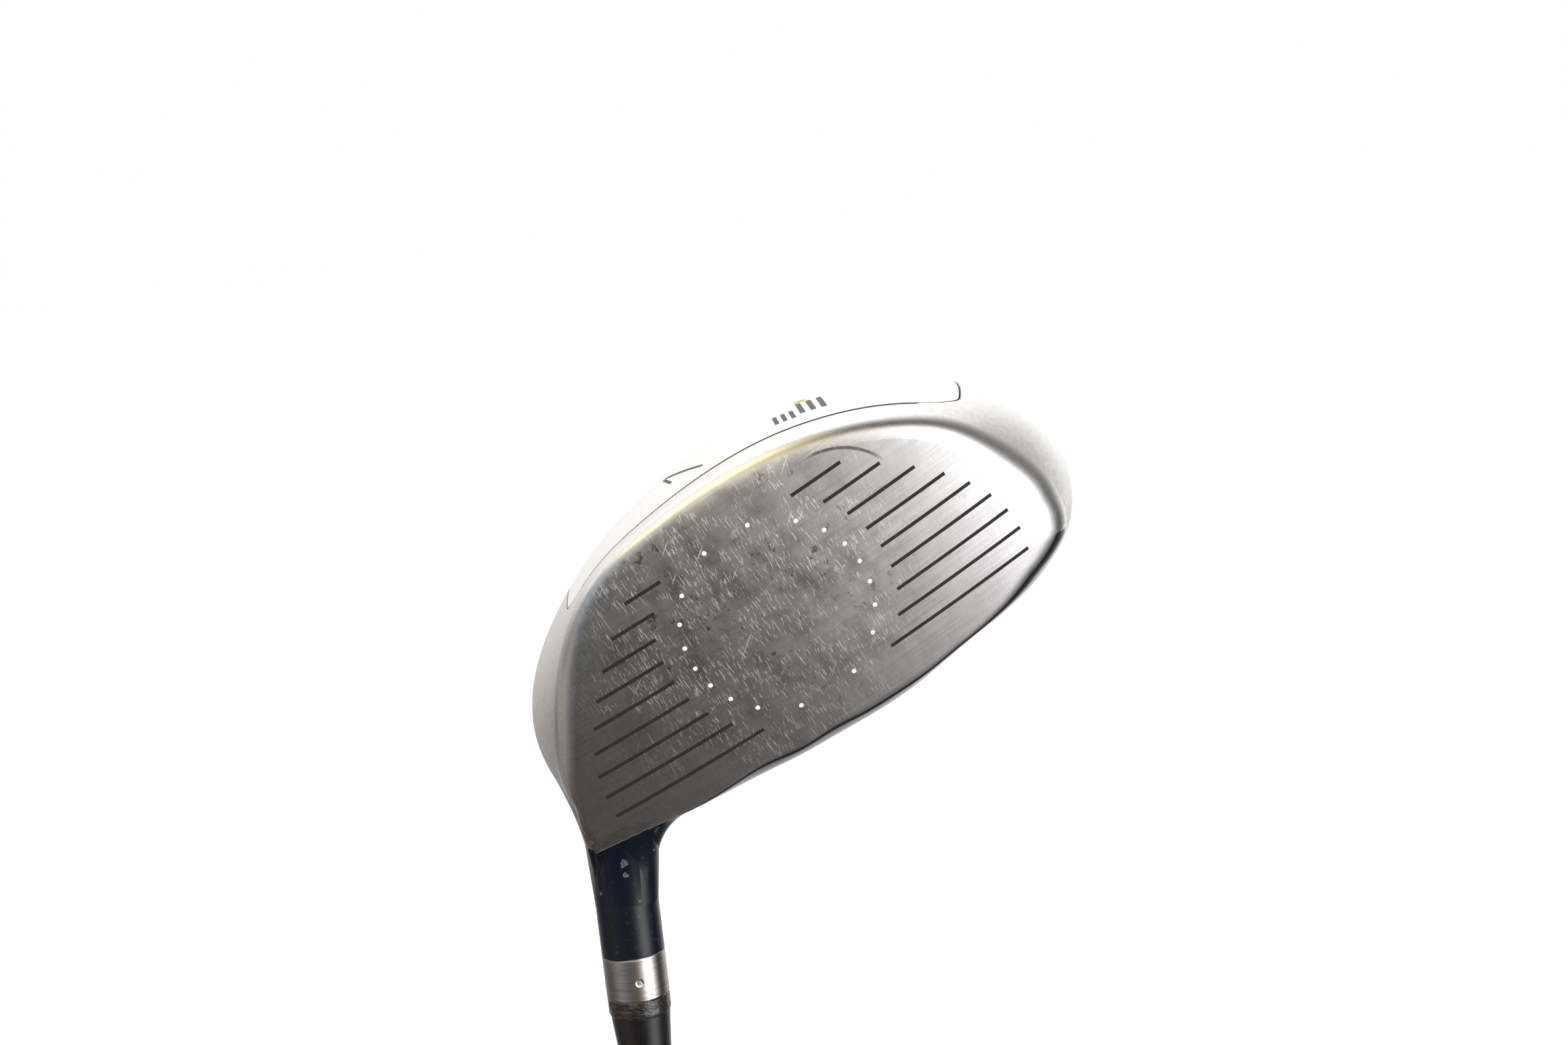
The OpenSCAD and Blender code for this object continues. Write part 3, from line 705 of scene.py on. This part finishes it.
def carbon(n):
    """Clear-coated graphite."""
    p = n.club()
    wrap = n.noise(p, 1.0, 3, 0.6, (1.2, 1.2, 0.25))
    fleck = n.noise(p, 12.0, 2, 0.5)
    base = n.mix(n.ramp(wrap, 0.3, 0.7), (0.012, 0.013, 0.016), (0.03, 0.032, 0.038))
    return {"Base Color": n.mix(n.ramp(fleck, 0.6, 0.8, 0, 0.4), base, (0.10, 0.11, 0.13)),
            "Roughness": n.ramp(wrap, 0.3, 0.7, 0.14, 0.22)}


def rubber(n):
    """Grainy rubber, a little worn."""
    p = n.club()
    grain = n.noise(p, 3.0, 4, 0.65)
    wear = n.noise(p, 0.05, 3, 0.5)
    base = n.mix(n.ramp(wear, 0.4, 0.65), (0.016, 0.016, 0.017), (0.035, 0.035, 0.036))
    return {"Base Color": base, "Roughness": n.ramp(grain, 0.3, 0.7, 0.62, 0.8),
            "Normal": n.bump(grain, 0.0002, 0.6)}


node_box = {name: [np.array(v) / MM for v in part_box(name)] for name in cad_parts}
HOSEL_END = node_box["hosel"][0][2]
DIMPLE = (0.8, -HOSEL_R, HOSEL_END + DIMPLE_UP)

FRONT_METAL = material("front_metal", front_metal)
SATIN = material("skirt_metal", satin_metal, Metallic=1.0)
SILVER = material("sole_silver", silver_paint, Metallic=0.15, Coat_Weight=0.6, Coat_Roughness=0.08)
NAVY = material("navy_paint", navy_paint, Coat_Weight=0.8, Coat_Roughness=0.05)
NECK_PAINT = material("neck_paint", neck_paint, Coat_Roughness=0.05, Specular_IOR_Level=0.25)
HOSEL = material("hosel_finish", hosel_finish, Coat_Roughness=0.05, Specular_IOR_Level=0.25)
SEAM_DARK = material("seam_dark", matte_print((0.10, 0.10, 0.105), 0.5))
BLACK = material("black_paint", matte_print((0.012, 0.012, 0.012), 0.7))
WHITE = material("white_paint", matte_print((0.93, 0.93, 0.92), 0.5))
GREY = material("grey_mark", matte_print((0.10, 0.10, 0.105)))
YELLOW = material("yellow_mark", matte_print((0.85, 0.62, 0.06)))
RESIN = material("collar_resin", resin, Coat_Weight=0.6, Coat_Roughness=0.04)
FERRULE = material("ferrule_black", plain((0.008, 0.008, 0.009), 0.16), Coat_Weight=0.3)
CARBON = material("graphite", carbon, Coat_Weight=0.7, Coat_Roughness=0.05)
RUBBER = material("grip_rubber", rubber)
CAP = material("cap_rubber", plain((0.014, 0.014, 0.015), 0.55))
INNER = {
    "hosel_plug": material("plug_plastic", plain((0.7, 0.7, 0.66), 0.5)),
    "rear_weight": material("weight_metal", plain((0.25, 0.25, 0.27), 0.45), Metallic=1.0),
    "rattle_glue": material("soft_glue", plain((0.75, 0.68, 0.45), 0.35), Subsurface_Weight=0.2),
    "shaft_adhesive": material("adhesive", plain((0.25, 0.17, 0.08), 0.3)),
    "tip_weight": material("brass_plug", plain((0.68, 0.52, 0.22), 0.3), Metallic=1.0),
    "grip_tape": material("tape", plain((0.75, 0.72, 0.62), 0.8)),
}


def finish_piece(obj, *nodes):
    """Fixes a drawn piece to the club and lets it stand for CAD nodes."""
    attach(obj, "root")
    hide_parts(*nodes)


def repaint(node, mat):
    """Gives a CAD node its material."""
    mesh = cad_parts[node].data
    mesh.materials.clear()
    mesh.materials.append(mat)


# ---------------------------------------------------------------- pieces

def angles(a0, a1, step=1.25):
    """Even angles in degrees, both ends included."""
    return np.linspace(a0, a1, int(round(abs(a1 - a0) / step)) + 1)


EDGE_ROWS = list(np.linspace(-1, 0, 13))
FRONT_ROWS = list(np.linspace(0, SEAM, 7))[1:]
FORE_ROWS = list(np.linspace(SEAM, 1, 24))
REAR_ROWS = list(1 + np.linspace(0, 1, 46) ** 0.9)[1:-1]
POLE_ROW = 1.9999


def painted(uv):
    """Positive where the crown's paint covers the front frame."""
    a, w = uv[:, 0] % 360, uv[:, 1]
    return np.minimum(np.minimum(w + 0.55, (a - CROWN_TOE) / 20), (CROWN_HEEL + 0.4 - a) / 20)


# millimetres to a row and to a degree, round the sole plate
ROW_MM, ANGLE_MM = BELLY_SETBACK, 0.72


def plate_distance(uv):
    """Signed distance to the sole plate's rounded outline, near enough in millimetres; positive outside."""
    mid_a, mid_w = (PLATE_HEEL + PLATE_TOE) / 2, (SEAM + PLATE_END) / 2
    corner = np.where(uv[:, 1] < mid_w, PLATE_CORNER, PLATE_REAR_CORNER)
    dx = np.abs(uv[:, 0] - mid_a) * ANGLE_MM - ((PLATE_TOE - PLATE_HEEL) / 2 * ANGLE_MM - corner)
    dy = np.abs(uv[:, 1] - mid_w) * ROW_MM - ((PLATE_END - SEAM) / 2 * ROW_MM - corner)
    away = np.hypot(np.maximum(dx, 0), np.maximum(dy, 0)) + np.minimum(np.maximum(dx, dy), 0)
    return away - corner


def plate_groove(uv):
    """Depth of the V groove along the sole plate's outline."""
    return GROOVE_DEPTH * np.clip(1 - np.abs(plate_distance(uv)) / GROOVE_HALF, 0, 1)


def close_pole(uv, tris, side):
    """Adds a fan from the last row to the rear pole."""
    last = uv[:, 1].max()
    ring = np.where(uv[:, 1] > last - 1e-9)[0]
    ring = ring[np.argsort(uv[ring, 0])]
    tip = len(uv)
    uv = np.concatenate([uv, [[uv[ring, 0].mean(), POLE_ROW]]])
    fan = np.stack([ring[:-1], ring[1:], np.full(len(ring) - 1, tip)], -1)
    return uv, np.concatenate([tris, fan]), np.concatenate([side, np.zeros(len(fan), bool)])


def make_front_frame():
    uv, tris = grid(angles(0, 360)[:-1], EDGE_ROWS + FRONT_ROWS, wrap=True)
    uv, tris, side = split_wrapped(uv, tris, painted)
    obj = shell("front_frame_shell", uv, tris, FRAME_T, [FRONT_METAL, NAVY], side.astype(int), plate_groove)
    finish_piece(obj, "front_frame")


def make_sole():
    a = angles(CROWN_HEEL, CROWN_TOE + 360)
    uv, tris = grid(a, FORE_ROWS + REAR_ROWS)
    for level in (GROOVE_HALF, -GROOVE_HALF):
        uv, tris, _ = split(uv, tris, lambda q, level=level: plate_distance(q) - level)
    uv, tris, out = split(uv, tris, plate_distance)
    seam = np.abs(plate_distance(uv)[tris]).mean(1) < GROOVE_HALF * 0.9
    plate = shell("sole_plate_shell", uv, tris[~out], FRAME_T, [SILVER, SEAM_DARK], seam[~out].astype(int),
                  plate_groove)
    finish_piece(plate, "sole_plate")
    uv_s, tris_s, dark = close_pole(uv, tris[out], seam[out])
    skirt = shell("skirt_shell", uv_s, tris_s, FRAME_T, [SATIN, SEAM_DARK], dark.astype(int), plate_groove)
    finish_piece(skirt, "skirt")


def make_crown():
    uv, tris = grid(angles(CROWN_TOE, CROWN_HEEL), FORE_ROWS + REAR_ROWS)
    uv, tris, _ = close_pole(uv, tris, np.zeros(len(tris), bool))
    obj = shell("crown_shell", uv, tris, CROWN_T, [NAVY])
    finish_piece(obj, "crown")


def entry(base):
    """Distance along the hosel's axis at which lines beside it enter the head."""
    lo, hi = np.full(base.shape[:-1], -35.0), np.full(base.shape[:-1], 20.0)
    for _ in range(24):
        mid = (lo + hi) / 2
        inside = outside(base + mid[..., None] * UP) < 0
        lo, hi = np.where(inside, mid, lo), np.where(inside, hi, mid)
    return (lo + hi) / 2


def outside_turn(p, d=0.05):
    """Outward direction of the head's skin near points."""
    n = np.stack([outside(p + d * e) - outside(p - d * e) for e in np.eye(3)], -1)
    return n / np.linalg.norm(n, axis=-1, keepdims=True)


# how far the fairing's ends lap the hosel and the skin, how deep its underside is sunk in the head, and
# how long its curve keeps the direction of each end, as a share of the distance between them
NECK_LAP, UNDER_SKIN, NECK_PULL = 0.03, 0.3, 0.45


def make_neck():
    """Fairing that carries the hosel's tube smoothly into the crown, the heel and the face."""
    turns = np.arange(0, 360, 3.0)
    c, s = turn(turns)
    d = SIDE * c[:, None] + FRONT * s[:, None]
    reach = closed_spline(FLARE, turns)
    base = NECK + d * reach[:, None]
    land = base + (entry(base)[:, None] - NECK_LAP) * UP
    n = outside_turn(land)
    start = NECK + FLARE_TOP * UP + (HOSEL_R + NECK_LAP) * d
    pull = np.linalg.norm(start - land, axis=1, keepdims=True) * NECK_PULL
    rise = UP * (d * n).sum(1, keepdims=True) - d * (n @ UP)[:, None]
    p1 = start - UP * pull
    p2 = land + rise / np.linalg.norm(rise, axis=1, keepdims=True) * pull
    t = np.linspace(0, 1, 41)[:, None, None]
    curve = (1 - t) ** 3 * start + 3 * t * (1 - t) ** 2 * p1 + 3 * t ** 2 * (1 - t) * p2 + t ** 3 * land
    inner = NECK + FLARE_TOP * UP + (HOSEL_R + NECK_LAP / 3) * d
    under = []
    for share in (0.6, 0.2):
        q = NECK + d * (HOSEL_R + (reach[:, None] - HOSEL_R) * share)
        under.append(q + (entry(q)[:, None] - UNDER_SKIN) * UP)
    rings = np.concatenate([curve, np.stack(under), inner[None]])
    faces = ring_faces(*rings.shape[:2])
    obj = mesh_object("neck_fairing_shell", to_club(rings.reshape(-1, 3)), faces, [NECK_PAINT], None, 60)
    finish_piece(obj, "neck_fairing")


# the grip's moulded pattern: rows of slanted cuts, the plain bands between them, and the butt's rings
CUT_ROW, CUTS_ROUND, CUT_SLANT, CUT_DEPTH = 3.2, 28, 0.035, 0.45
BUTT_PLAIN, MOUTH_PLAIN, CUT_FADE, PLAIN_BANDS = 14.0, 16.0, 6.0, 5
RING_START, RING_END, RING_PITCH, RING_DEPTH = 5.0, 13.0, 2.4, 0.3
GRIP_ROWS, GRIP_STEP = 1100, 2.0


def grip_depth(u, v, low, high):
    """Depth of the moulded pattern at a turn in radians and a height."""
    up, down = v - low, high - v
    body = smooth((up - BUTT_PLAIN) / CUT_FADE) * smooth((down - MOUTH_PLAIN) / CUT_FADE)
    bands = smooth(np.abs((up / (high - low) * PLAIN_BANDS) % 1 - 0.5) * 40 - 1.2)
    across = ((u + v % CUT_ROW * CUT_SLANT) * CUTS_ROUND / (2 * np.pi)) % 1 - 0.5
    along = v % CUT_ROW / CUT_ROW - 0.5
    cut = smooth((0.16 - np.abs(across)) / 0.1) * smooth((0.36 - np.abs(along)) / 0.12)
    butt = smooth(RING_END - up) * smooth(up - RING_START)
    rings = smooth(0.5 + 2 * np.sin(up * 2 * np.pi / RING_PITCH)) * butt
    return CUT_DEPTH * cut * body * bands + RING_DEPTH * rings


def make_grip():
    """The CAD grip's own surface, refined and pressed with a moulded pattern."""
    low, high = node_box["grip"]
    outer, inner = {}, {}
    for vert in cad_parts["grip"].data.vertices:
        z, r = round(vert.co.z / MM, 3), round(math.hypot(vert.co.x, vert.co.y) / MM, 3)
        outer[z] = max(outer.get(z, r), r)
        inner[z] = min(inner.get(z, r), r)
    zs = sorted(outer)
    turns = np.radians(np.arange(0, 360, GRIP_STEP))
    rows = np.linspace(low[2], high[2], GRIP_ROWS)
    u, v = np.meshgrid(turns, rows)
    out_r = np.interp(rows, zs, [outer[z] for z in zs])[:, None]
    radius = out_r - grip_depth(u, v, low[2], high[2])
    verts = [np.stack([radius * np.cos(u), radius * np.sin(u), v], -1).reshape(-1, 3)]
    for z, r in ((high[2], inner[zs[-1]]), (low[2], inner[zs[0]])):
        verts.append(np.stack([r * np.cos(turns), r * np.sin(turns), np.full(len(turns), z)], -1))
    faces = ring_faces(GRIP_ROWS + 2, len(turns))
    obj = mesh_object("grip_moulded", np.concatenate(verts) * MM, faces, [RUBBER], None, 50)
    finish_piece(obj, "grip")


make_front_frame()
make_sole()
make_crown()
make_neck()
make_grip()
OUTER = {
    "face_plate": FRONT_METAL, "hosel": HOSEL, "score_line_paint": BLACK, "aim_dot_paint": WHITE,
    "sole_bars": GREY, "sole_stripe": GREY, "sole_accent": YELLOW, "adhesive_collar": RESIN,
    "ferrule": FERRULE, "shaft": CARBON, "grip_cap": CAP,
}
for node, mat in {**OUTER, **INNER}.items():
    repaint(node, mat)

# ---------------------------------------------------------------- floor, light and camera

def make_floor():
    """A wide pale disc under the object, left out of its reflections."""
    bpy.ops.mesh.primitive_circle_add(vertices=96, radius=40, fill_type="NGON", location=(0, 0, cad_low[2]))
    floor = bpy.context.object
    floor.name = "floor"
    floor.data.materials.append(material("floor", None, Base_Color=(0.95, 0.95, 0.945, 1), Roughness=0.9,
                                         Emission_Color=(1, 1, 1, 1), Emission_Strength=0.45))
    floor.visible_glossy = False


# direction, focus (higher is narrower) and colour of each light in the studio
GLOWS = [
    ((0.8, -0.55, -0.1), 14.0, (0.9, 1.0, 1.1)),
    ((0.6, -0.75, -0.3), 20.0, (0.4, 0.4, 0.43)),
    ((0.65, -0.7, 0.15), 14.0, (3.7, 3.6, 3.6)),
    ((0.75, -0.6, -0.3), 16.0, (1.6, 1.5, 1.5)),
    ((-0.42, -0.38, 0.8), 16.0, (2.5, 2.1, 1.0)),
    ((0.0, -0.95, 0.3), 10.0, (1.2, 1.1, 0.85)),
    ((-0.6, -0.75, 0.2), 10.0, (0.35, 0.45, 0.65)),
    ((-0.85, -0.4, -0.3), 8.0, (0.3, 0.25, 0.2)),
    ((0.4, -0.3, -0.85), 8.0, (0.3, 0.3, 0.3)),
    ((0.9, 0.1, 0.4), 8.0, (0.1, 0.09, 0.07)),
    ((-0.8, 0.2, 0.5), 8.0, (0.9, 0.85, 0.9)),
    ((0.55, 0.83, 0.1), 9.0, (1.3, 1.3, 1.3)),
    ((-0.2, 0.95, 0.3), 4.0, (0.9, 0.88, 0.85)),
    ((0.0, 0.5, 0.87), 6.0, (1.3, 1.3, 1.35)),
]


def make_world():
    """A white room to the camera, and soft glows to everything else."""
    world = bpy.data.worlds.new("studio")
    bpy.context.scene.world = world
    world.use_nodes = True
    n = Nodes(world.node_tree)
    way = n.add("ShaderNodeTexCoord").outputs["Generated"]
    total = (0, 0, 0)
    for direction, focus, tint in GLOWS:
        dot = n.vector("DOT_PRODUCT", way, Vector(direction).normalized()).outputs["Value"]
        spot = n.math("EXPONENT", n.times(n.minus(dot, 1.0), focus))
        glow = n.add("ShaderNodeVectorMath", {0: tint, "Scale": spot}, operation="SCALE").outputs[0]
        total = n.vector("ADD", total, glow).outputs[0]
    lit = n.add("ShaderNodeBackground", {"Color": total, "Strength": 1.0})
    white = n.add("ShaderNodeBackground", {"Color": (1, 1, 1, 1), "Strength": 1.0})
    seen = n.add("ShaderNodeLightPath").outputs["Is Camera Ray"]
    both = n.add("ShaderNodeMixShader", {0: seen, 1: lit.outputs[0], 2: white.outputs[0]})
    out = n.add("ShaderNodeOutputWorld")
    world.node_tree.links.new(both.outputs[0], out.inputs[0])


def make_camera():
    """Looks at the face from the target's side, with the toe up; its angles are turns about X, Y and Z."""
    cam = bpy.data.objects.new("camera", bpy.data.cameras.new("camera"))
    bpy.context.scene.collection.objects.link(cam)
    cam.data.lens = 52.0
    cam.data.sensor_width = 36.0
    cam.data.clip_start = 0.01
    cam.location = to_club([25.04, 443.79, -87.38])
    cam.rotation_euler = [math.radians(angle) for angle in (80.922, 6.154, -3.635)]
    bpy.context.scene.camera = cam


make_floor()
make_world()
make_camera()
bpy.context.scene.view_settings.view_transform = "Standard"
